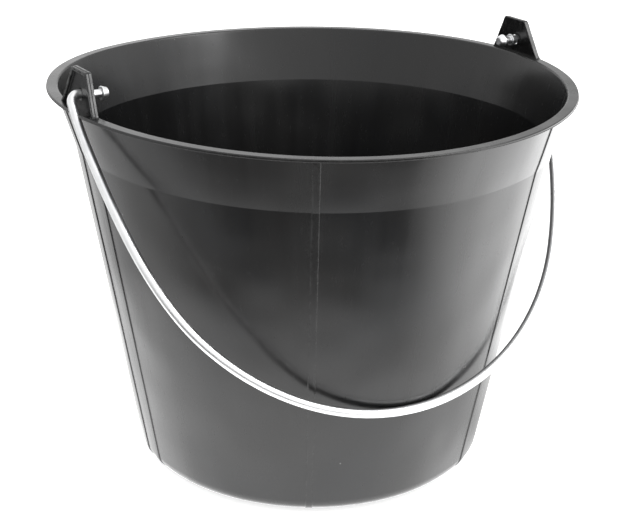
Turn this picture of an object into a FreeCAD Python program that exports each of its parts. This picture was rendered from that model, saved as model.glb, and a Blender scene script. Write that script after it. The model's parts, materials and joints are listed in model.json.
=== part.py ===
import FreeCAD, Part
import math
import os

# A tapered plastic bucket with a wire bail, in millimetres.
# The origin is on the ground under the bucket's centre, +Z is up, and the two ears stand on -X and +X.
#
# The bucket is one moulding and the bail is one wire. The moulding is modelled whole and then divided at
# plain cuts into its regions, one node each, so that no node bends round a hollow more than it must.

# The moulding, as a solid of revolution. Heights are above the ground.
rim_height = 243.0
rim_radius = 160.0
flange_thickness = 2.2
collar_top_radius = 154.5
kink_height = 207.8
kink_radius = 144.0
base_radius = 107.0
base_corner_radius = 9.0
wall_thickness = 2.0
floor_thickness = 2.4
inner_corner_radius = 7.0
rim_inner_rounding = 1.6
edge_rounding = 0.5
flange_root_rounding = 1.2

# The ring that the bucket stands on.
foot_height = 3.0
foot_outer_radius = 92.0
foot_width = 3.0

# Raised strips down the outside: six evenly spaced, and one more beside each ear.
strip_width = 4.6
strip_height = 0.5
strip_overlap = 0.6
strip_angles = [0, 60, 120, 180, 240, 300]
ear_strip_offset = -7.7

# The ears: a leaning plate with a raised border on its outer face, open at the bottom.
ear_height = 23.0
ear_base_half_width = 22.5
ear_top_half_width = 10.0
ear_corner_radius = 3.0
ear_inner_face = 154.6
ear_plate_thickness = 1.8
ear_border_height = 1.6
ear_border_width = 2.4
ear_lean = 4.75
ear_root_depth = 1.0
ear_hole_radius = 3.2

# The bail: one wire in one plane, hooked into the ears from outside.
wire_radius = 2.7
hinge_above_rim = 9.0
leg_x = 162.8
hook_bend_radius = 5.5
leg_straight_end = 18.5
shoulder_radius = 250.0
shoulder_angle = 29.0
wall_gap = 0.3

# The upset end of the wire, along X from the bucket's centre.
collar_outer_x = 151.0
collar_inner_x = 149.5
collar_radius = 3.9
neck_radius = 2.4
head_back_x = 144.0
head_front_x = 139.9
head_back_radius = 4.3
head_front_radius = 3.0
end_rounding = 0.4

# Where the moulding is divided at the base: the floor's edge, and the top of the corner's roundings.
floor_cut_radius = 98.0
corner_cut_height = 14.0

# Values that follow from the driving dimensions.
hinge_height = rim_height + hinge_above_rim
flange_underside = rim_height - flange_thickness
floor_top = foot_height + floor_thickness
wall_slope = (kink_radius - base_radius) / (kink_height - foot_height)
collar_slope = (collar_top_radius - kink_radius) / (flange_underside - kink_height)

Z_AXIS = FreeCAD.Vector(0, 0, 1)
X_AXIS = FreeCAD.Vector(1, 0, 0)
ORIGIN = FreeCAD.Vector(0, 0, 0)


def rounded_face(corners, to_vector):
    """Face inside a closed outline of (u, v, rounding) corners, placed in space by to_vector(u, v)."""
    edges = []
    previous_end = None
    first_start = None
    count = len(corners)
    for i in range(count):
        u, v, rounding = corners[i]
        corner = FreeCAD.Vector(u, v, 0)
        back = (FreeCAD.Vector(*corners[i - 1][:2], 0) - corner).normalize()
        ahead = (FreeCAD.Vector(*corners[(i + 1) % count][:2], 0) - corner).normalize()
        start = corner
        end = corner
        if rounding > 0:
            half = back.getAngle(ahead) / 2
            start = corner + back * (rounding / math.tan(half))
            end = corner + ahead * (rounding / math.tan(half))
            bisector = (back + ahead).normalize()
            middle = corner + bisector * (rounding / math.sin(half) - rounding)
        if previous_end is not None:
            edges.append(Part.makeLine(to_vector(previous_end.x, previous_end.y), to_vector(start.x, start.y)))
        else:
            first_start = start
        if rounding > 0:
            points = [to_vector(p.x, p.y) for p in (start, middle, end)]
            edges.append(Part.Arc(*points).toShape())
        previous_end = end
    edges.append(
        Part.makeLine(to_vector(previous_end.x, previous_end.y), to_vector(first_start.x, first_start.y))
    )
    return Part.Face(Part.Wire(edges))


def in_radial_plane(radius, height):
    return FreeCAD.Vector(radius, 0, height)


def wall_radius(height, offset):
    """Radius of the surface that runs parallel to the lower wall's outside, offset outwards."""
    taper = math.atan(wall_slope)
    return kink_radius + (height - kink_height) * wall_slope + offset / math.cos(taper)


def collar_radius_at(height, offset):
    """Radius of the surface that runs parallel to the collar's outside, offset outwards."""
    taper = math.atan(collar_slope)
    return kink_radius + (height - kink_height) * collar_slope + offset / math.cos(taper)


def kink_point(offset):
    """Where the offset wall and the offset collar meet, as (radius, height, rounding)."""
    gap = wall_radius(kink_height, offset) - collar_radius_at(kink_height, offset)
    height = kink_height + gap / (collar_slope - wall_slope)
    return (wall_radius(height, offset), height, 0)


def make_shell():
    """Floor, foot ring, wall, collar and rim flange, in one turn about the centre line."""
    outline = [
        (0, foot_height, 0),
        (foot_outer_radius - foot_width, foot_height, 0),
        (foot_outer_radius - foot_width, 0, edge_rounding),
        (foot_outer_radius, 0, edge_rounding),
        (foot_outer_radius, foot_height, 0),
        (base_radius, foot_height, base_corner_radius),
        kink_point(0),
        (collar_top_radius, flange_underside, flange_root_rounding),
        (rim_radius, flange_underside, edge_rounding),
        (rim_radius, rim_height, edge_rounding),
        (collar_radius_at(rim_height, -wall_thickness), rim_height, rim_inner_rounding),
        kink_point(-wall_thickness),
        (wall_radius(floor_top, -wall_thickness), floor_top, inner_corner_radius),
        (0, floor_top, 0),
    ]
    return rounded_face(outline, in_radial_plane).revolve(ORIGIN, Z_AXIS, 360)


def make_strip(angle):
    """One raised strip of even width, from under the flange down and round the base corner."""
    bottom = foot_height - strip_height
    top = flange_underside + flange_thickness / 2
    outline = [
        (floor_cut_radius, bottom, 0),
        (wall_radius(bottom, strip_height), bottom, base_corner_radius + strip_height),
        kink_point(strip_height),
        (collar_radius_at(top, strip_height), top, 0),
        (collar_radius_at(top, -strip_overlap), top, 0),
        kink_point(-strip_overlap),
        (
            wall_radius(foot_height + strip_overlap, -strip_overlap),
            foot_height + strip_overlap,
            base_corner_radius - strip_overlap,
        ),
        (floor_cut_radius, foot_height + strip_overlap, 0),
    ]
    ring = rounded_face(outline, in_radial_plane).revolve(ORIGIN, Z_AXIS, 360)
    corner = FreeCAD.Vector(0, -strip_width / 2, 0)
    band = ring.common(Part.makeBox(rim_radius, strip_width, rim_height, corner))
    band.rotate(ORIGIN, Z_AXIS, angle)
    return band


def ear_face(inset, root_depth):
    """Outline of the ear, drawn inwards by inset on its sides and top, in the plane x = 0."""
    side = math.atan((ear_base_half_width - ear_top_half_width) / ear_height)
    shift = inset / math.cos(side)
    slope = math.tan(side)
    top = ear_height - inset
    top_half = ear_base_half_width - top * slope - shift
    root_half = ear_base_half_width + root_depth * slope - shift
    rounding = max(ear_corner_radius - inset, edge_rounding)
    outline = [
        (-root_half, -root_depth, 0),
        (root_half, -root_depth, 0),
        (top_half, top, rounding),
        (-top_half, top, rounding),
    ]
    return rounded_face(outline, lambda y, z: FreeCAD.Vector(0, y, z))


def make_ear():
    """The ear on +X: plate, raised border, lean and hole."""
    plate = ear_face(0, ear_root_depth).extrude(X_AXIS * (ear_plate_thickness + ear_border_height))
    recess = ear_face(ear_border_width, ear_root_depth).extrude(X_AXIS * ear_border_height)
    recess.translate(X_AXIS * ear_plate_thickness)
    ear = plate.cut(recess)
    ear.rotate(ORIGIN, FreeCAD.Vector(0, 1, 0), -ear_lean)
    ear.translate(FreeCAD.Vector(ear_inner_face, 0, rim_height))
    return ear


def make_moulding():
    """The whole moulding: one solid."""
    angles = strip_angles + [ear_angle + ear_strip_offset for ear_angle in (0, 180)]
    pieces = [make_strip(angle) for angle in angles]
    for ear_angle in (0, 180):
        ear = make_ear()
        ear.rotate(ORIGIN, Z_AXIS, ear_angle)
        pieces.append(ear)
    moulding = make_shell().fuse(pieces).removeSplitter()
    drill_start = FreeCAD.Vector(-rim_radius, 0, hinge_height)
    drill = Part.makeCylinder(ear_hole_radius, 2 * rim_radius, drill_start, X_AXIS)
    return moulding.cut(drill)


def slab(low, high, side=0):
    """Block between two heights, wider than the bucket, or only its half on one side of x = 0."""
    reach = 2 * rim_radius
    start_x = 0 if side > 0 else -reach
    length = reach if side else 2 * reach
    return Part.makeBox(length, 2 * reach, high - low, FreeCAD.Vector(start_x, -reach, low))


def divide_moulding(moulding):
    """The moulding's regions by node name. They meet face to face and share no volume."""
    top = rim_height + 2 * ear_height
    core = Part.makeCylinder(floor_cut_radius, kink_height)
    floor_and_foot = moulding.common(core)
    return {
        "bucket_foot": floor_and_foot.common(slab(0, foot_height)),
        "bucket_floor": floor_and_foot.common(slab(foot_height, floor_top)),
        "bucket_corner": moulding.common(slab(0, corner_cut_height)).cut(core),
        "bucket_wall": moulding.common(slab(corner_cut_height, kink_height)),
        "bucket_collar": moulding.common(slab(kink_height, flange_underside)),
        "bucket_rim": moulding.common(slab(flange_underside, rim_height)),
        "ear_left": moulding.common(slab(rim_height, top, -1)),
        "ear_right": moulding.common(slab(rim_height, top, 1)),
    }


def bail_path():
    """Centre line of the wire, hanging straight down from the hinge axis, and its greatest depth."""
    turn = math.radians(shoulder_angle)
    shoulder_x = leg_x - shoulder_radius * (1 - math.cos(turn))
    shoulder_depth = leg_straight_end + shoulder_radius * math.sin(turn)
    bow_radius = shoulder_x / math.cos(turn)
    depth = shoulder_depth + bow_radius * (1 - math.sin(turn))
    half_turn = turn / 2
    middle_x = leg_x - shoulder_radius * (1 - math.cos(half_turn))
    middle_depth = leg_straight_end + shoulder_radius * math.sin(half_turn)
    bend_x = leg_x - hook_bend_radius
    bend_reach = hook_bend_radius * math.sin(math.radians(45))
    bend_middle_depth = hook_bend_radius - bend_reach
    shank_x = (collar_inner_x + collar_outer_x) / 2

    def side(sign):
        stops = [
            (shank_x, 0),
            (bend_x, 0),
            (bend_x + bend_reach, bend_middle_depth),
            (leg_x, hook_bend_radius),
            (leg_x, leg_straight_end),
            (middle_x, middle_depth),
            (shoulder_x, shoulder_depth),
        ]
        return [FreeCAD.Vector(sign * x, 0, -down) for x, down in stops]

    def half(points):
        shank, bend_start, bend_middle, bend_end, straight_end, arc_middle, arc_end = points
        return [
            Part.makeLine(shank, bend_start),
            Part.Arc(bend_start, bend_middle, bend_end).toShape(),
            Part.makeLine(bend_end, straight_end),
            Part.Arc(straight_end, arc_middle, arc_end).toShape(),
        ]

    right = side(1)
    left = side(-1)
    bow = Part.Arc(right[-1], FreeCAD.Vector(0, 0, -depth), left[-1]).toShape()
    edges = half(right) + [bow] + half(left)
    return Part.Wire(Part.__sortEdges__(edges)), depth


def make_wire_end():
    """The collar, neck and head formed on the end of the wire at +X."""
    outline = [
        (collar_outer_x, 0, 0),
        (collar_outer_x, collar_radius, end_rounding),
        (collar_inner_x, collar_radius, end_rounding),
        (collar_inner_x, neck_radius, end_rounding),
        (head_back_x, neck_radius, end_rounding),
        (head_back_x, head_back_radius, end_rounding),
        (head_front_x, head_front_radius, end_rounding),
        (head_front_x, 0, 0),
    ]
    face = rounded_face(outline, lambda x, radius: FreeCAD.Vector(x, 0, radius))
    return face.revolve(ORIGIN, X_AXIS, 360)


def rest_angle(depth):
    """Angle between the hanging bail and the vertical when it leans on the wall, in degrees."""
    taper = math.atan(wall_slope)
    reach = wall_radius(hinge_height, wire_radius + wall_gap)
    return math.degrees(math.asin(reach * math.cos(taper) / depth) - taper)


def make_bail():
    """The wire with both its ends, leaning on the -Y side of the wall."""
    path, depth = bail_path()
    section = Part.makeCircle(wire_radius, path.OrderedVertexes[0].Point, X_AXIS)
    wire = path.makePipeShell([Part.Wire(section)], True, False)
    right_end = make_wire_end()
    left_end = make_wire_end()
    left_end.rotate(ORIGIN, Z_AXIS, 180)
    bail = wire.fuse([right_end, left_end])
    bail.rotate(ORIGIN, X_AXIS, -rest_angle(depth))
    bail.translate(Z_AXIS * hinge_height)
    print("bail depth", round(depth, 2), "rest angle", round(rest_angle(depth), 3))
    return bail


def main():
    os.makedirs("parts", exist_ok=True)
    nodes = divide_moulding(make_moulding())
    nodes["bail"] = make_bail()
    for name, shape in nodes.items():
        shape.exportStep("parts/" + name + ".step")
        print(name, "valid", shape.isValid(), "solids", len(shape.Solids), "volume", round(shape.Volume))


main()
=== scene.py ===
import json
import math

import bmesh
import bpy
from mathutils import Matrix, Vector, noise


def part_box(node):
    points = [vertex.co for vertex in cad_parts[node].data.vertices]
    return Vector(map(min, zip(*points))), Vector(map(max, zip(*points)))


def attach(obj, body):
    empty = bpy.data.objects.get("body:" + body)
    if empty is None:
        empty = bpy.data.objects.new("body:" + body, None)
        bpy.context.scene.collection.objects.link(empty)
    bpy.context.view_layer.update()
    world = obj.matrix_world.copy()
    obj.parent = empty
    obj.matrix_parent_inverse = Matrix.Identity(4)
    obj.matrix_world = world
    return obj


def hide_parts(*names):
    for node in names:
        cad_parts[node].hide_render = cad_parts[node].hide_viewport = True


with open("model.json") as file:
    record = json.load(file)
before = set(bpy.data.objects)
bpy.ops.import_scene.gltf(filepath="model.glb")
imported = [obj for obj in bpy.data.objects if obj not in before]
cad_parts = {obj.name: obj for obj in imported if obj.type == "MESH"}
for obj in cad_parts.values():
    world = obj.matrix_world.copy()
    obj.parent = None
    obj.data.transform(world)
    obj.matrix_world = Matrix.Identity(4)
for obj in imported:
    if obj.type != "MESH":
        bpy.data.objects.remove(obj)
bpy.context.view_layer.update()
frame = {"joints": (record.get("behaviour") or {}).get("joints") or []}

# A black plastic florist's bucket with a galvanised wire bail. Everything is in metres, in the CAD frame:
# the origin on the ground under the bucket's centre, the ears on -X and +X, the bail on the -Y side.
MM = 0.001

# Read from the frame.
rim_low, rim_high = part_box("bucket_rim")
wall_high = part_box("bucket_wall")[1]
floor_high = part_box("bucket_floor")[1]
bail_low, bail_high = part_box("bail")
rim_radius = rim_high.y
rim_top = rim_high.z
flange_underside = rim_low.z
kink_radius = wall_high.y
kink_height = wall_high.z
floor_top = floor_high.z
strip_start_radius = floor_high.y
hinge_height = frame["joints"][0]["pos_m"][2]

# The direction the camera looks in, turned from +Y towards +X.
view_yaw = math.radians(32.29)

# The moulding's other sizes.
collar_top_radius = 154.5 * MM
base_radius = 107.0 * MM
base_corner_radius = 9.0 * MM
inner_corner_radius = 7.0 * MM
wall_thickness = 2.0 * MM
foot_height = 3.0 * MM
foot_outer_radius = 92.0 * MM
foot_width = 3.0 * MM
foot_edge_rounding = 0.5 * MM
foot_root_rounding = 0.6 * MM
gate_radius = 4.0 * MM
gate_height = 0.8 * MM
gate_rounding = 0.3 * MM
kink_rounding = 0.9 * MM
rim_inner_rounding = 1.4 * MM
rim_outer_rounding = 0.6 * MM
flange_root_rounding = 1.2 * MM
flange_edge_rise = 0.5 * MM

# The flange's edge: a fine moulding line stands out to the rim's radius, and the face above it is set back.
flash_height = 0.16 * MM
flash_root = 0.5 * MM
flash_chamfer = 0.1 * MM
flash_rounding = 0.08 * MM
edge_setback_low = 0.28 * MM
edge_setback_top = 0.18 * MM

# How the moulding departs from a true round. Its heights change above warp_start, and its outline grows
# oval from the ground up to oval_full.
warp_start = 20 * MM
rim_sag = 2.6 * MM
rim_twist = 0.34 * MM
rim_lift = 0.45 * MM
front_sag = 1.15 * MM
back_lift = 0.3 * MM
front_angle = math.radians(238)
oval_full = 12 * MM
oval_left = 2.0 * MM
oval_right = 2.5 * MM
wave_depth = 0.30 * MM
ripple_depth = 0.07 * MM

# How finely the moulding is meshed.
arc_step_degrees = 12
column_step_degrees = 1.5
longest_run = 6 * MM
corner_support = 0.35 * MM

# Raised strips on the outside.
strip_angles = [0, 60, 120, 170, 178.6, 238.8, 301, 352.3]
strip_height = 0.5 * MM
strip_half_width = 2.3 * MM
strip_edge = 0.45 * MM
strip_skirt = 0.3 * MM
strip_start_fade = 0.6 * MM
strip_narrowing_reach = 8 * MM

# The ears.
ear_height = 23.0 * MM
ear_base_half_width = 22.5 * MM
ear_top_half_width = 10.0 * MM
ear_corner_radius = 3.0 * MM
ear_inner_face = 154.6 * MM
ear_plate_thickness = 1.8 * MM
ear_border_height = 1.6 * MM
ear_border_width = 2.4 * MM
ear_step = 0.40 * MM
ear_edge = 0.35 * MM
ear_root_depth = 1.0 * MM
ear_least_rounding = 0.5 * MM
ear_hole_radius = 3.2 * MM
ear_hole_lip = 0.25 * MM
ear_root_flare = 0.9 * MM
ear_flare_height = 2.5 * MM
ear_shift_left = 1.6 * MM
ear_shift_right = 1.0 * MM
ear_lean = math.radians(4.75)

# The bail.
wire_radius = 2.7 * MM
hook_bend_radius = 5.5 * MM
leg_straight_end = 18.5 * MM
shoulder_radius = 250.0 * MM
shoulder_turn = math.radians(29.0)
collar_outer_x = 151.0 * MM
collar_inner_x = 149.5 * MM
collar_radius = 3.9 * MM
neck_radius = 2.4 * MM
head_back_x = 144.0 * MM
head_front_x = 139.9 * MM
head_back_radius = 4.3 * MM
head_front_radius = 3.0 * MM
head_rounding = 0.9 * MM
wire_end_rounding = 0.4 * MM
collar_root_rounding = 0.2 * MM
wire_sides = 28

# How the bail departs from a true bow. Its left leg stands inwards by leg_shift_left at the hinge. Over the
# bend_drops below the hinge it bends further, and over the straighten_drops it comes back to the bow.
end_shift_right = 1.4 * MM
leg_shift_left = 2.4 * MM
leg_bend_left = 2.1 * MM
bend_drops = (8 * MM, 50 * MM)
straighten_drops = (60 * MM, 150 * MM)
end_droop_left = 1.3 * MM
droop_inner_x = 146 * MM
droop_outer_x = 153 * MM


# ---------------------------------------------------------------- outlines and meshes

def smooth(low, high, value):
    """0 below low, 1 above high and an S-curve between them."""
    share = min(1.0, max(0.0, (value - low) / (high - low)))
    return share * share * (3 - 2 * share)


def rounded_line(corners, longest, support):
    """Points along a line through (u, v, rounding) corners: arcs at the corners, even runs between them."""
    arcs = []
    for i, corner in enumerate(corners):
        here = Vector(corner[:2])
        rounding = corner[2]
        if rounding <= 0 or i in (0, len(corners) - 1):
            arcs.append([here])
            continue
        back = (Vector(corners[i - 1][:2]) - here).normalized()
        ahead = (Vector(corners[i + 1][:2]) - here).normalized()
        half = back.angle(ahead) / 2
        start = here + back * (rounding / math.tan(half))
        centre = here + (back + ahead).normalized() * (rounding / math.sin(half))
        sweep = math.pi - 2 * half
        turn = sweep if ahead.cross(back) > 0 else -sweep
        steps = max(3, math.ceil(math.degrees(sweep) / arc_step_degrees))
        spoke = start - centre
        arcs.append([centre + Matrix.Rotation(turn * k / steps, 2) @ spoke for k in range(steps + 1)])
    points = list(arcs[0])
    for before, after in zip(arcs, arcs[1:]):
        start = before[-1]
        end = after[0]
        length = (end - start).length
        if length > 4 * support:
            inner = length - 2 * support
            steps = max(1, math.ceil(inner / longest))
            for k in range(steps + 1):
                points.append(start.lerp(end, (support + inner * k / steps) / length))
        points.extend(after)
    return points


def new_piece(name, mesh_maker):
    """An object from a function that fills a bmesh."""
    mesh = bpy.data.meshes.new(name)
    bm = bmesh.new()
    mesh_maker(bm)
    bmesh.ops.recalc_face_normals(bm, faces=bm.faces)
    for face in bm.faces:
        face.smooth = True
    bm.to_mesh(mesh)
    bm.free()
    piece = bpy.data.objects.new(name, mesh)
    bpy.context.scene.collection.objects.link(piece)
    return piece


def skin(bm, rings, closed=False):
    """Quads between each ring of vertices and the next. Every ring goes once round."""
    pairs = list(zip(rings, rings[1:]))
    if closed:
        pairs.append((rings[-1], rings[0]))
    for low, high in pairs:
        count = len(low)
        for i in range(count):
            j = (i + 1) % count
            bm.faces.new((low[i], low[j], high[j], high[i]))


def cap(bm, ring, centre):
    """A fan of triangles from a ring to a point."""
    tip = bm.verts.new(centre)
    for i in range(len(ring)):
        bm.faces.new((ring[i], ring[(i + 1) % len(ring)], tip))


def mark_wear(piece, reach, amount):
    """Point attribute "wear": up to amount on convex edges, fading out over about reach."""
    least_bend = math.radians(6)
    full_bend = math.radians(14)
    bm = bmesh.new()
    bm.from_mesh(piece.data)
    bm.verts.ensure_lookup_table()
    worn = [0.0] * len(bm.verts)
    for edge in bm.edges:
        if len(edge.link_faces) == 2 and edge.is_convex:
            bend = edge.calc_face_angle(0.0)
            sharpness = amount * min(1.0, bend / full_bend)
            if bend > least_bend:
                for vert in edge.verts:
                    worn[vert.index] = max(worn[vert.index], sharpness)
    for _ in range(4):
        spread = list(worn)
        for edge in bm.edges:
            fade = math.exp(-edge.calc_length() / reach)
            a, b = (v.index for v in edge.verts)
            spread[a] = max(spread[a], worn[b] * fade)
            spread[b] = max(spread[b], worn[a] * fade)
        worn = spread
    bm.free()
    attribute = piece.data.attributes.new("wear", "FLOAT", "POINT")
    attribute.data.foreach_set("value", worn)


def weigh_normals(piece):
    """Normals that follow the large faces, so that small roundings shade cleanly."""
    modifier = piece.modifiers.new("weighted_normals", "WEIGHTED_NORMAL")
    modifier.mode = "FACE_AREA_WITH_ANGLE"
    modifier.weight = 60


# ---------------------------------------------------------------- the moulding

wall_slope = (kink_radius - base_radius) / (kink_height - foot_height)
collar_slope = (collar_top_radius - kink_radius) / (flange_underside - kink_height)


def wall_radius(height, offset):
    """Radius of the surface parallel to the lower wall's outside, offset outwards."""
    return kink_radius + (height - kink_height) * wall_slope + offset / math.cos(math.atan(wall_slope))


def collar_radius_at(height, offset):
    """Radius of the surface parallel to the collar's outside, offset outwards."""
    return kink_radius + (height - kink_height) * collar_slope + offset / math.cos(math.atan(collar_slope))


def kink_point(offset):
    """Corner where the surfaces parallel to the wall and the collar meet, offset outwards."""
    gap = wall_radius(kink_height, offset) - collar_radius_at(kink_height, offset)
    height = kink_height + gap / (collar_slope - wall_slope)
    return (wall_radius(height, offset), height, kink_rounding)


def shell_outline():
    """The moulding's section from the middle of the underside, out and up, over the rim and down inside."""
    edge_low = flange_underside + flange_edge_rise
    return [
        (gate_radius, foot_height - gate_height, gate_rounding),
        (gate_radius, foot_height, gate_rounding),
        (foot_outer_radius - foot_width, foot_height, foot_root_rounding),
        (foot_outer_radius - foot_width, 0, foot_edge_rounding),
        (foot_outer_radius, 0, foot_edge_rounding),
        (foot_outer_radius, foot_height, foot_root_rounding),
        (base_radius, foot_height, base_corner_radius),
        kink_point(0),
        (collar_top_radius, flange_underside, flange_root_rounding),
        (rim_radius - flash_root, edge_low, flash_chamfer),
        (rim_radius - flash_chamfer, edge_low, flash_rounding),
        (rim_radius, edge_low + flash_height, flash_rounding),
        (rim_radius - edge_setback_low, edge_low + 2.4 * flash_height, flash_chamfer),
        (rim_radius - edge_setback_top, rim_top, rim_outer_rounding),
        (collar_radius_at(rim_top, -wall_thickness), rim_top, rim_inner_rounding),
        kink_point(-wall_thickness),
        (wall_radius(floor_top, -wall_thickness), floor_top, inner_corner_radius),
        (gate_radius, floor_top, 0),
    ]


def strip_section():
    """(offset across, height) pairs of one strip's section, as shares of its height."""
    top = strip_half_width - strip_edge
    half = [(0, 1), (top / 2, 1), (top, 1)]
    for share in (0.25, 0.5, 0.75, 1.0):
        half.append((top + strip_edge * share, (1 + math.cos(math.pi * share)) / 2))
    half.append((strip_half_width + strip_skirt, 0))
    return [(-across, height) for across, height in reversed(half[1:])] + half


def columns():
    """The moulding's columns: (strip, offset across it, None, height) or (strip, None, share to next, 0)."""
    found = []
    section = strip_section()
    for i, angle in enumerate(strip_angles):
        following = strip_angles[(i + 1) % len(strip_angles)]
        gap = (following - angle) % 360
        found.extend((i, across, None, height) for across, height in section)
        between = max(2, round(gap / column_step_degrees))
        found.extend((i, None, k / between, 0.0) for k in range(1, between))
    return found


def column_angle(column, radius):
    """Angle of a column at a radius: strips keep their width, and the columns between share what is left."""
    i, across, share, _ = column
    strip_radius = max(radius, strip_start_radius - strip_narrowing_reach)
    here = math.radians(strip_angles[i])
    if across is not None:
        return here + across / strip_radius
    following = strip_angles[(i + 1) % len(strip_angles)]
    ahead = here + math.radians((following - strip_angles[i]) % 360)
    edge = (strip_half_width + strip_skirt) / strip_radius
    return (here + edge) * (1 - share) + (ahead - edge) * share


def warp(point):
    """Where a point of the true round shape lies on this thin moulding.

    The ears hold the rim up beside them, and it hangs lowest at the front. The wall bulges to the left and
    the right of the camera's view, and it is never quite even.
    """
    rise = min(1.0, max(0.0, (point.z - warp_start) / (rim_top - warp_start)))
    around = Vector((point.x, point.y, 0)).normalized()
    angle = math.atan2(point.y, point.x)
    facing = math.cos(angle - front_angle)
    tip = -front_sag * facing ** 2 if facing > 0 else back_lift * facing ** 2
    sag = rim_sag / 2 * (math.cos(2 * angle) - 1) - rim_twist * math.sin(2 * angle)
    sag = (sag + rim_lift + tip) * rise ** 2
    across = around.x * math.cos(view_yaw) - around.y * math.sin(view_yaw)
    oval = smooth(0, 1, 2 * across * across - 1) * smooth(0, oval_full, point.z)
    if across < 0:
        oval *= oval_left
    else:
        oval *= oval_right * (1 - smooth(kink_height, rim_top, point.z))
    # The noise follows the direction from the axis, so both sides of the wall bulge together.
    wave = noise.noise(Vector((around.x * 1.6, around.y * 1.6, point.z * 5 + 3)))
    ripple = noise.noise(Vector((around.x * 5, around.y * 5, point.z * 14 + 9)))
    bulge = min(1.0, rise * 2) * (wave_depth * wave + ripple_depth * ripple)
    return point + around * (bulge + oval) + Vector((0, 0, sag))


def make_shell_mesh(bm):
    """The moulding without its ears, turned from its outline, with the raised strips on its outside."""
    outline = rounded_line(shell_outline(), longest_run, corner_support)
    posts = columns()
    rings = []
    passed_rim = False
    for k, point in enumerate(outline):
        before = outline[max(k - 1, 0)]
        after = outline[min(k + 1, len(outline) - 1)]
        along = (after - before).normalized()
        outward = Vector((along.y, -along.x))
        if point.x > rim_radius - 1 * MM:
            passed_rim = True
        raised = 0.0
        if not passed_rim and point.x > strip_start_radius and point.y < flange_underside:
            start = min(1.0, (point.x - strip_start_radius) / strip_start_fade)
            end = min(1.0, (flange_underside - point.y) / flange_root_rounding)
            raised = min(start, end)
        ring = []
        for post in posts:
            place = point + outward * (strip_height * raised * post[3])
            angle = column_angle(post, point.x)
            spot = Vector((place.x * math.cos(angle), place.x * math.sin(angle), place.y))
            ring.append(bm.verts.new(warp(spot)))
        rings.append(ring)
    skin(bm, rings)
    cap(bm, rings[0], (0, 0, foot_height - gate_height))
    cap(bm, rings[-1], (0, 0, floor_top))


# ---------------------------------------------------------------- the ears

def ear_outline(inset):
    """The ear's outline drawn inwards by inset, the same number of points whatever the inset."""
    root_steps = 20
    side_steps = 10
    corner_steps = 8
    slope = (ear_base_half_width - ear_top_half_width) / ear_height
    side = math.atan(slope)
    shift = inset / math.cos(side)
    top = ear_height - inset
    root = -ear_root_depth + min(inset, ear_least_rounding)
    top_half = ear_base_half_width - top * slope - shift
    root_half = ear_base_half_width - root * slope - shift
    rounding = max(ear_corner_radius - inset, ear_least_rounding)
    half = (math.pi / 2 - side) / 2 + math.pi / 4
    corner = Vector((top_half, top))
    down = Vector((slope, -1)).normalized()
    inward = Vector((-1, 0))
    start = corner + down * (rounding / math.tan(half))
    centre = corner + (down + inward).normalized() * (rounding / math.sin(half))
    sweep = math.pi - 2 * half
    root_right = Vector((root_half, root))
    root_left = Vector((-root_half, root))

    outline = [root_left.lerp(root_right, k / root_steps) for k in range(root_steps)]
    outline += [root_right.lerp(start, k / side_steps) for k in range(side_steps)]
    arc = [
        centre + Matrix.Rotation(sweep * k / corner_steps, 2) @ (start - centre)
        for k in range(corner_steps + 1)
    ]
    outline += arc
    across = arc[-1].x
    outline += [Vector((across - 2 * across * k / side_steps, top)) for k in range(1, side_steps)]
    outline += [Vector((-spot.x, spot.y)) for spot in reversed(arc)]
    left_start = Vector((-start.x, start.y))
    outline += [left_start.lerp(root_left, k / side_steps) for k in range(1, side_steps)]

    middle = 1 * MM
    for spot in outline:
        if abs(spot.x) > middle:
            closeness = max(0.0, 1 - max(spot.y, 0.0) / ear_flare_height)
            spot.x += math.copysign(ear_root_flare * closeness ** 2, spot.x)
    return outline


def ear_section():
    """(kind, amount, depth) steps round the ear's section; depth is measured outwards from the inner face.

    An outline step's amount is its inset from the ear's outline, and a hole step's is its radius.
    """
    front = ear_plate_thickness + ear_border_height
    plate = ear_plate_thickness
    edge = ear_edge
    step = ear_step
    border = ear_border_width
    hole = ear_hole_radius
    lip = ear_hole_lip
    quarter = [(1 - math.sin(a), 1 - math.cos(a)) for a in (0, math.pi / 6, math.pi / 3, math.pi / 2)]
    outside = [(edge * 3, 0.0)]
    outside += [(edge * a, edge * b) for a, b in quarter]
    outside += [(0.0, plate - 0.25 * MM), (0.0, plate - 0.1 * MM)]
    outside += [(step, plate), (step, plate + 0.15 * MM)]
    outside += [(step + edge * b, front - edge * a) for a, b in quarter]
    outside += [(border - edge * a, front - edge * b) for b, a in quarter[::-1]]
    outside += [(border, plate + 0.4 * MM), (border + 0.12 * MM, plate + 0.12 * MM)]
    outside += [(border + 0.4 * MM, plate), (border + 1.0 * MM, plate)]
    inside = [(hole + 4 * lip, plate), (hole + lip, plate), (hole + 0.3 * lip, plate - 0.3 * lip)]
    inside += [(hole, plate - lip), (hole, lip), (hole + 0.3 * lip, 0.3 * lip)]
    inside += [(hole + lip, 0.0), (hole + 4 * lip, 0.0)]
    return [("outline", *pair) for pair in outside] + [("hole", *pair) for pair in inside]


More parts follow.
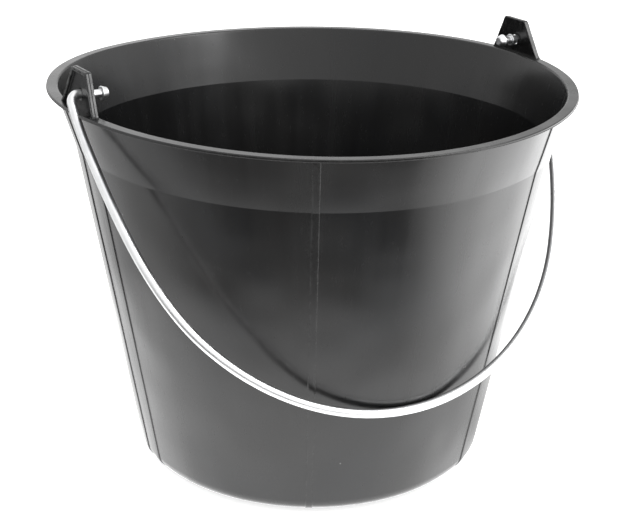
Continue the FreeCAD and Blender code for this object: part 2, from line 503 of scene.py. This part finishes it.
def make_ear_mesh(bm, turned):
    """One ear, leaning inwards, placed on +X, or on -X when turned."""
    middle = ear_plate_thickness / 2
    hole_height = (hinge_height - rim_top - middle * math.sin(ear_lean)) / math.cos(ear_lean)
    centre = Vector((0, hole_height))
    place = Matrix.Rotation(math.pi if turned else 0, 4, "Z")
    stand = ear_inner_face - ear_shift_left if turned else ear_inner_face + ear_shift_right
    place = place @ Matrix.Translation((stand, 0, rim_top)) @ Matrix.Rotation(-ear_lean, 4, "Y")
    directions = [(spot - centre).normalized() for spot in ear_outline(0)]
    rings = []
    for kind, amount, depth in ear_section():
        if kind == "outline":
            flat = ear_outline(amount)
        else:
            flat = [centre + direction * amount for direction in directions]
        rings.append([bm.verts.new(place @ Vector((depth, spot.x, spot.y))) for spot in flat])
    skin(bm, rings, closed=True)


# ---------------------------------------------------------------- the bail

def bail_half():
    """The bail's right half, and the angle by which it hangs off the vertical.

    The half is a list of (x, drop, direction, radius) stations from the wire's tip to the middle of the bow.
    """
    tip_radius = 0.001 * MM
    bend_steps = 16
    leg_steps = 8
    shoulder_steps = 40
    bow_steps = 80
    reach = hinge_height - (bail_low.z + wire_radius)
    sideways = -(bail_low.y + wire_radius)
    depth = math.hypot(reach, sideways)
    leg_x = bail_high.x - wire_radius
    bend_x = leg_x - hook_bend_radius
    end = [
        (head_front_x, tip_radius, 0),
        (head_front_x, head_front_radius, head_rounding),
        (head_back_x, head_back_radius, wire_end_rounding),
        (head_back_x, neck_radius, wire_end_rounding),
        (collar_inner_x, neck_radius, wire_end_rounding),
        (collar_inner_x, collar_radius, wire_end_rounding),
        (collar_outer_x, collar_radius, wire_end_rounding),
        (collar_outer_x, wire_radius, collar_root_rounding),
        (bend_x, wire_radius, 0),
    ]
    stations = [(p.x, 0.0, 0.0, p.y) for p in rounded_line(end, longest=1.5 * MM, support=0.1 * MM)]
    for k in range(1, bend_steps + 1):
        angle = math.pi / 2 * k / bend_steps
        x = bend_x + hook_bend_radius * math.sin(angle)
        stations.append((x, hook_bend_radius * (1 - math.cos(angle)), angle, wire_radius))
    for k in range(1, leg_steps + 1):
        drop = hook_bend_radius + (leg_straight_end - hook_bend_radius) * k / leg_steps
        stations.append((leg_x, drop, math.pi / 2, wire_radius))
    for k in range(1, shoulder_steps + 1):
        turn = shoulder_turn * k / shoulder_steps
        x = leg_x - shoulder_radius * (1 - math.cos(turn))
        drop = leg_straight_end + shoulder_radius * math.sin(turn)
        stations.append((x, drop, math.pi / 2 + turn, wire_radius))
    shoulder_x = stations[-1][0]
    bow_radius = shoulder_x / math.cos(shoulder_turn)
    bow_centre = depth - bow_radius
    for k in range(1, bow_steps + 1):
        angle = (math.pi / 2 - shoulder_turn) * (1 - k / bow_steps)
        x = bow_radius * math.sin(angle)
        drop = bow_centre + bow_radius * math.cos(angle)
        stations.append((x, drop, math.pi - angle, wire_radius))
    return stations, math.atan2(sideways, reach)


def shift_share(drop):
    """1 at the wire's end, 0 once it has turned into the leg."""
    return 1 - smooth(0, hook_bend_radius, drop)


def left_bend(drop):
    """How far the left leg stands inwards: the wire has slid that way and its leg is a little bent."""
    bend = leg_shift_left + leg_bend_left * smooth(*bend_drops, drop)
    return bend * (1 - smooth(*straighten_drops, drop))


def left_droop(x, drop):
    """How far the wire's left end hangs below the hinge: fully inside the ear, not at all once outside it."""
    if x > 0 or drop > 0:
        return 0.0
    return end_droop_left * (1 - smooth(droop_inner_x, droop_outer_x, -x))


def make_bail_mesh(bm):
    """The wire as one tube. Its "rod" layer holds the place on the wire's round section and along it."""
    half, lean = bail_half()
    stations = []
    for x, drop, direction, radius in half:
        stations.append((x + end_shift_right * shift_share(drop), drop, direction, radius))
    for x, drop, direction, radius in reversed(half[:-1]):
        stations.append((-x + left_bend(drop), drop, -direction, radius))
    place = Matrix.Translation((0, 0, hinge_height)) @ Matrix.Rotation(-lean, 4, "X")
    flow = bm.verts.layers.float_vector.new("rod")
    side = Vector((0, 1, 0))
    length = 0.0
    rings = []
    last = None
    for x, drop, direction, radius in stations:
        along = Vector((math.cos(direction), 0, -math.sin(direction)))
        normal = along.cross(side)
        centre = Vector((x, 0, -drop))
        if last is not None:
            length += (centre - last).length
        last = centre
        droop = Vector((0, 0, left_droop(x, drop)))
        # The wire only ever thins, so that it stays inside the CAD's box.
        uneven = 0.994 + 0.005 * noise.noise(Vector((length * 160, 3, 0)))
        ring = []
        for k in range(wire_sides):
            angle = 2 * math.pi * k / wire_sides
            spoke = side * math.cos(angle) + normal * math.sin(angle)
            vert = bm.verts.new(place @ (centre + spoke * (radius * uneven)) - droop)
            vert[flow] = Vector((radius * math.cos(angle), radius * math.sin(angle), length))
            ring.append(vert)
        rings.append(ring)
    skin(bm, rings)
    cap(bm, rings[0], place @ Vector((stations[0][0], 0, 0)))
    cap(bm, rings[-1], place @ Vector((stations[-1][0], 0, 0)) - droop)


# ---------------------------------------------------------------- materials

white = (1.0, 1.0, 1.0, 1.0)
black = (0.0, 0.0, 0.0, 1.0)


class Nodes:
    """Short calls for building the node tree of a material or a world."""

    def __init__(self, owner):
        owner.use_nodes = True
        self.owner = owner
        self.tree = owner.node_tree

    def add(self, kind, **settings):
        """A new node. Settings that start with _ are its properties, and the others are its sockets."""
        node = self.tree.nodes.new("ShaderNode" + kind)
        for key, value in settings.items():
            if key.startswith("_"):
                setattr(node, key[1:], value)
            else:
                found = [s for s in node.inputs if s.name.lower() == key.lower() and s.enabled]
                found[0].default_value = value
        return node

    def link(self, out, into):
        self.tree.links.new(out, into)

    def math(self, operation, a, b=None, clamp=False):
        node = self.add("Math", _operation=operation, _use_clamp=clamp)
        for socket, value in zip(node.inputs, (a, b)):
            if value is None:
                continue
            if isinstance(value, (int, float)):
                socket.default_value = value
            else:
                self.link(value, socket)
        return node.outputs[0]

    def ramp(self, value, low, high, out_low=0.0, out_high=1.0):
        node = self.add("MapRange", _clamp=True)
        self.link(value, node.inputs["Value"])
        node.inputs["From Min"].default_value = low
        node.inputs["From Max"].default_value = high
        node.inputs["To Min"].default_value = out_low
        node.inputs["To Max"].default_value = out_high
        return node.outputs["Result"]

    def noise(self, place, scale, detail=3.0, roughness=0.5):
        node = self.add("TexNoise", Scale=scale, Detail=detail, Roughness=roughness)
        self.link(place, node.inputs["Vector"])
        return node.outputs["Fac"]

    def scaled(self, place, factors):
        node = self.add("VectorMath", _operation="MULTIPLY")
        self.link(place, node.inputs[0])
        node.inputs[1].default_value = factors
        return node.outputs[0]

    def dot(self, place, direction):
        node = self.add("VectorMath", _operation="DOT_PRODUCT")
        self.link(place, node.inputs[0])
        node.inputs[1].default_value = direction
        return node.outputs["Value"]

    def length(self, place):
        node = self.add("VectorMath", _operation="LENGTH")
        self.link(place, node.inputs[0])
        return node.outputs["Value"]

    def mix(self, share, low, high):
        node = self.add("Mix", _data_type="RGBA")
        self.link(share, node.inputs[0])
        for socket, value in zip((node.inputs[6], node.inputs[7]), (low, high)):
            if isinstance(value, tuple):
                socket.default_value = (*value, 1.0)
            else:
                self.link(value, socket)
        return node.outputs[2]


def new_material(name):
    """The nodes of a new material, and its shader."""
    n = Nodes(bpy.data.materials.new(name))
    return n, n.tree.nodes["Principled BSDF"]


def moulded_plastic():
    """Charcoal polyethylene: satin, faintly streaked up the wall, lightly scuffed, paler along worn edges."""
    cool_charcoal = (0.0055, 0.0058, 0.0064)
    warm_charcoal = (0.0080, 0.0076, 0.0073)
    chafed_grey = (0.10, 0.10, 0.10)
    speck_grey = (0.30, 0.30, 0.29)
    n, shader = new_material("moulded_plastic")
    place = n.add("TexCoord").outputs["Object"]
    split = n.add("SeparateXYZ")
    n.link(place, split.inputs[0])
    # The place on the wall is the direction from the axis and the height. Near the axis it runs evenly
    # to nothing, so that the floor shows no star.
    flat = n.add("CombineXYZ")
    n.link(split.outputs["X"], flat.inputs["X"])
    n.link(split.outputs["Y"], flat.inputs["Y"])
    shrink = n.math("DIVIDE", 1.0, n.math("MAXIMUM", n.length(flat.outputs[0]), 0.10))
    around = n.add("VectorMath", _operation="SCALE")
    n.link(flat.outputs[0], around.inputs[0])
    n.link(shrink, around.inputs["Scale"])
    height = n.add("CombineXYZ")
    n.link(split.outputs["Z"], height.inputs["Z"])
    wrapped = n.add("VectorMath", _operation="ADD")
    n.link(around.outputs[0], wrapped.inputs[0])
    n.link(height.outputs[0], wrapped.inputs[1])
    streaks = n.noise(n.scaled(wrapped.outputs[0], (14.0, 14.0, 7.0)), 1.0, detail=4.0)
    blotches = n.noise(place, 16.0, detail=2.0)
    fine = n.noise(place, 900.0, detail=2.0)
    scuffs = n.noise(n.scaled(wrapped.outputs[0], (60.0, 60.0, 160.0)), 1.0, detail=6.0, roughness=0.7)

    base = n.mix(n.ramp(blotches, 0.3, 0.7), cool_charcoal, warm_charcoal)
    wear = n.add("Attribute", _attribute_name="wear").outputs["Fac"]
    chafed = n.math("MULTIPLY", wear, n.ramp(n.noise(place, 260.0, detail=4.0), 0.42, 0.70))
    base = n.mix(n.math("MULTIPLY", chafed, 0.35), base, chafed_grey)

    cells = n.add("TexVoronoi", Scale=52.0)
    n.link(place, cells.inputs["Vector"])
    chosen = n.add("SeparateColor")
    n.link(cells.outputs["Color"], chosen.inputs[0])
    rare = n.math("GREATER_THAN", chosen.outputs[0], 0.72)
    dot = n.ramp(cells.outputs["Distance"], 0.018, 0.030, 1.0, 0.0)
    speck = n.math("MULTIPLY", rare, dot)
    base = n.mix(n.math("MULTIPLY", speck, 0.5), base, speck_grey)
    n.link(base, shader.inputs["Base Color"])

    rough = n.ramp(streaks, 0.30, 0.70, 0.20, 0.28)
    rough = n.math("ADD", rough, n.ramp(scuffs, 0.60, 0.80, 0.0, 0.14))
    rough = n.math("ADD", rough, n.math("MULTIPLY", chafed, 0.22), clamp=True)
    n.link(rough, shader.inputs["Roughness"])

    relief = n.math("ADD", n.math("MULTIPLY", fine, 0.35), n.math("MULTIPLY", streaks, 1.4))
    relief = n.math("ADD", relief, n.math("MULTIPLY", speck, 1.2))
    bump = n.add("Bump", Strength=0.14, Distance=0.00006)
    n.link(relief, bump.inputs["Height"])
    waves = n.add("Bump", Strength=1.0, Distance=0.0022)
    n.link(n.noise(n.scaled(wrapped.outputs[0], (2.2, 2.2, 18.0)), 1.0, detail=1.0), waves.inputs["Height"])
    n.link(waves.outputs[0], bump.inputs["Normal"])
    n.link(bump.outputs[0], shader.inputs["Normal"])
    shader.inputs["IOR"].default_value = 1.5
    return n.owner


def galvanised_wire():
    """Bright zinc: drawn streaks along the wire, dull patches, small dark nicks, polished ends."""
    bright_zinc = (0.80, 0.81, 0.82)
    dull_zinc = (0.62, 0.63, 0.65)
    nick_grey = (0.16, 0.155, 0.15)
    polished_zinc = (0.90, 0.90, 0.90)
    n, shader = new_material("galvanised_wire")
    rod = n.add("Attribute", _attribute_name="rod").outputs["Vector"]
    drawn = n.noise(n.scaled(rod, (1500.0, 1500.0, 22.0)), 1.0, detail=3.0)
    patches = n.noise(n.scaled(rod, (300.0, 300.0, 130.0)), 1.0, detail=4.0)
    grains = n.noise(n.scaled(rod, (1400.0, 1400.0, 1400.0)), 1.0, detail=2.0)
    base = n.mix(n.ramp(patches, 0.35, 0.70), bright_zinc, dull_zinc)
    cells = n.add("TexVoronoi", Scale=95.0)
    n.link(n.scaled(rod, (1.6, 1.6, 1.0)), cells.inputs["Vector"])
    chosen = n.add("SeparateColor")
    n.link(cells.outputs["Color"], chosen.inputs[0])
    rare = n.math("GREATER_THAN", chosen.outputs[1], 0.80)
    nick = n.math("MULTIPLY", rare, n.ramp(cells.outputs["Distance"], 0.04, 0.07, 1.0, 0.0))
    base = n.mix(nick, base, nick_grey)
    wear = n.add("Attribute", _attribute_name="wear").outputs["Fac"]
    base = n.mix(n.math("MULTIPLY", wear, 0.6), base, polished_zinc)
    n.link(base, shader.inputs["Base Color"])
    shader.inputs["Metallic"].default_value = 1.0
    rough = n.ramp(patches, 0.30, 0.75, 0.24, 0.42)
    rough = n.math("ADD", rough, n.ramp(drawn, 0.4, 0.75, 0.0, 0.08))
    n.link(rough, shader.inputs["Roughness"])
    relief = n.math("ADD", drawn, n.math("MULTIPLY", grains, 0.5))
    relief = n.math("SUBTRACT", relief, n.math("MULTIPLY", nick, 2.5))
    bump = n.add("Bump", Strength=0.25, Distance=0.00006)
    n.link(relief, bump.inputs["Height"])
    n.link(bump.outputs[0], shader.inputs["Normal"])
    return n.owner


def floor_material():
    """White, and lit from below like a light table."""
    n, shader = new_material("studio_floor")
    shader.inputs["Base Color"].default_value = (0.90, 0.90, 0.90, 1.0)
    shader.inputs["Roughness"].default_value = 0.9
    shader.inputs["Specular IOR Level"].default_value = 0.1
    shader.inputs["Emission Color"].default_value = white
    shader.inputs["Emission Strength"].default_value = 0.7
    return n.owner


def glow_material(name):
    """The nodes and the shader of a black material that only glows white."""
    n, shader = new_material(name)
    shader.inputs["Base Color"].default_value = black
    shader.inputs["Roughness"].default_value = 1.0
    shader.inputs["Specular IOR Level"].default_value = 0.0
    shader.inputs["Emission Color"].default_value = white
    return n, shader


def reflector_material():
    """Bright close to the bucket. Further out it is bright on the right, dim on the left and behind on the
    left, and dark towards the camera.

    The turn is the angle round the bucket, in radians: 0 towards the camera, positive to its right. The
    reach is the distance from the bucket's middle.
    """
    # Strengths of the glow.
    near_glow = 2.5
    right_glow = 3.3
    left_glow = 0.85
    behind_glow = 0.6
    least_glow = 0.14
    n, shader = glow_material("reflector")
    place = n.add("TexCoord").outputs["Object"]
    toward = n.dot(place, (-math.sin(view_yaw), -math.cos(view_yaw), 0))
    across = n.dot(place, (math.cos(view_yaw), -math.sin(view_yaw), 0))
    turn = n.math("ARCTAN2", across, toward)
    reach = n.length(place)

    shade = n.math("ADD", n.ramp(turn, 1.05, 1.55, 0.0, 1.3), n.ramp(turn, -1.4, -2.0, 0.0, 1.0))
    shade = n.math("MULTIPLY", shade, n.ramp(reach, 0.13, 0.25, 1.0, 0.0))
    near = n.math("SUBTRACT", near_glow, shade)

    right = n.math("MULTIPLY", n.ramp(turn, 0.70, 1.22, 0.0, right_glow), n.ramp(turn, 2.4, 3.0, 1.0, 0.6))
    left = n.ramp(turn, -0.60, -1.20, 0.0, left_glow)
    behind = n.ramp(turn, -1.6, -2.2, 0.0, behind_glow)
    far = n.math("ADD", n.math("ADD", right, left), n.math("ADD", behind, least_glow))
    gone = n.math("MULTIPLY", n.ramp(reach, 0.60, 1.00), n.ramp(turn, -1.2, -1.7))
    far = n.math("MULTIPLY", far, n.math("SUBTRACT", 1.0, n.math("MULTIPLY", gone, 0.9)))

    fade = n.ramp(reach, 0.20, 0.345)
    glow = n.math("ADD", near, n.math("MULTIPLY", n.math("SUBTRACT", far, near), fade))
    n.link(glow, shader.inputs["Emission Strength"])
    return n.owner


def softbox_material():
    """An even white glow."""
    n, shader = glow_material("softbox")
    shader.inputs["Emission Strength"].default_value = 8.0
    return n.owner


# ---------------------------------------------------------------- the pieces

def finish_piece(piece, material, body, replaced, reach, amount):
    """Wear, material and normals of a piece, and its place in the frame."""
    mark_wear(piece, reach, amount)
    piece.data.materials.append(material)
    weigh_normals(piece)
    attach(piece, body)
    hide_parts(*replaced)


plastic = moulded_plastic()
zinc = galvanised_wire()

shell = new_piece("bucket_shell", make_shell_mesh)
shell_nodes = ("bucket_foot", "bucket_floor", "bucket_corner", "bucket_wall", "bucket_collar", "bucket_rim")
finish_piece(shell, plastic, "bucket", shell_nodes, reach=0.5 * MM, amount=0.35)

for side, turned in (("left", True), ("right", False)):
    ear = new_piece("bail_ear_" + side, lambda bm: make_ear_mesh(bm, turned))
    finish_piece(ear, plastic, "bucket", ("ear_" + side,), reach=0.4 * MM, amount=1.0)

bail = new_piece("bail_wire", make_bail_mesh)
finish_piece(bail, zinc, "bail", ("bail",), reach=0.4 * MM, amount=1.0)


# ---------------------------------------------------------------- stage, light and camera

def make_rings(bm, count, first, growth, height):
    """Level rings round the origin, each growth times as wide as the one inside it, with faces between."""
    sides = 96
    rings = []
    for k in range(count):
        radius = first * growth ** k
        ring = []
        for i in range(sides):
            angle = 2 * math.pi * i / sides
            ring.append(bm.verts.new((radius * math.cos(angle), radius * math.sin(angle), height)))
        rings.append(ring)
    skin(bm, rings)
    return rings


def make_floor(bm):
    """A wide disc, about 21 metres in radius and finer towards its middle."""
    rings = make_rings(bm, 14, 0.04, 1.62, 0)
    cap(bm, rings[0], (0, 0, 0))


def make_reflector(bm):
    """A flat ring just above the floor, from 0.1 to about 2.3 metres in radius."""
    make_rings(bm, 10, 0.100, 1.42, 0.001)


def make_softbox(bm):
    """A flat card."""
    half_width = 0.5
    half_height = 0.35
    corners = [(-1, -1), (1, -1), (1, 1), (-1, 1)]
    bm.faces.new([bm.verts.new((half_width * x, half_height * y, 0)) for x, y in corners])


def show_only_in_reflections(card):
    card.visible_camera = False
    card.visible_diffuse = False
    card.visible_shadow = False


floor = new_piece("studio_floor", make_floor)
floor.data.materials.append(floor_material())

reflector = new_piece("reflector_card", make_reflector)
reflector.data.materials.append(reflector_material())
show_only_in_reflections(reflector)

softbox = new_piece("softbox_card", make_softbox)
softbox.data.materials.append(softbox_material())
softbox.location = (0.80, -1.05, 1.20)
bucket_top = Vector((0, 0, 0.25))
softbox.rotation_euler = (bucket_top - softbox.location).to_track_quat("-Z", "Y").to_euler()
show_only_in_reflections(softbox)


def make_world():
    """A white surround, brighter on the right and dimmer behind on the right."""
    n = Nodes(bpy.data.worlds.new("studio"))
    background = n.tree.nodes["Background"]
    background.inputs["Color"].default_value = white
    direction = n.add("TexCoord").outputs["Generated"]
    across = n.dot(direction, (math.cos(view_yaw), -math.sin(view_yaw), 0))
    ahead = n.dot(direction, (math.sin(view_yaw), math.cos(view_yaw), 0))
    level = n.ramp(across, -0.5, 0.6, 1.0, 1.5)
    loss = n.math("MULTIPLY", n.ramp(ahead, 0.3, 0.7), n.ramp(across, -0.1, 0.3, -0.1, 0.65))
    n.link(n.math("SUBTRACT", level, loss), background.inputs["Strength"])
    bpy.context.scene.world = n.owner


def make_camera():
    """The camera: to the left of the front, above the rim, tilted a little."""
    place = Vector((-0.4731, -0.7592, 0.4650))
    pitch = math.radians(20.88)
    roll = math.radians(1.23)
    data = bpy.data.cameras.new("camera")
    data.sensor_width = 36.0
    data.lens = 84.17
    data.clip_start = 0.01
    camera = bpy.data.objects.new("camera", data)
    level = Vector((math.sin(view_yaw), math.cos(view_yaw), 0))
    forward = level * math.cos(pitch) - Vector((0, 0, math.sin(pitch)))
    right = forward.cross(Vector((0, 0, 1))).normalized()
    up = right.cross(forward)
    tilted_right = right * math.cos(roll) + up * math.sin(roll)
    tilted_up = up * math.cos(roll) - right * math.sin(roll)
    turn = Matrix((tilted_right, tilted_up, -forward)).transposed()
    camera.matrix_world = Matrix.Translation(place) @ turn.to_4x4()
    bpy.context.scene.collection.objects.link(camera)
    bpy.context.scene.camera = camera


make_world()
make_camera()
bpy.context.scene.view_settings.view_transform = "Standard"
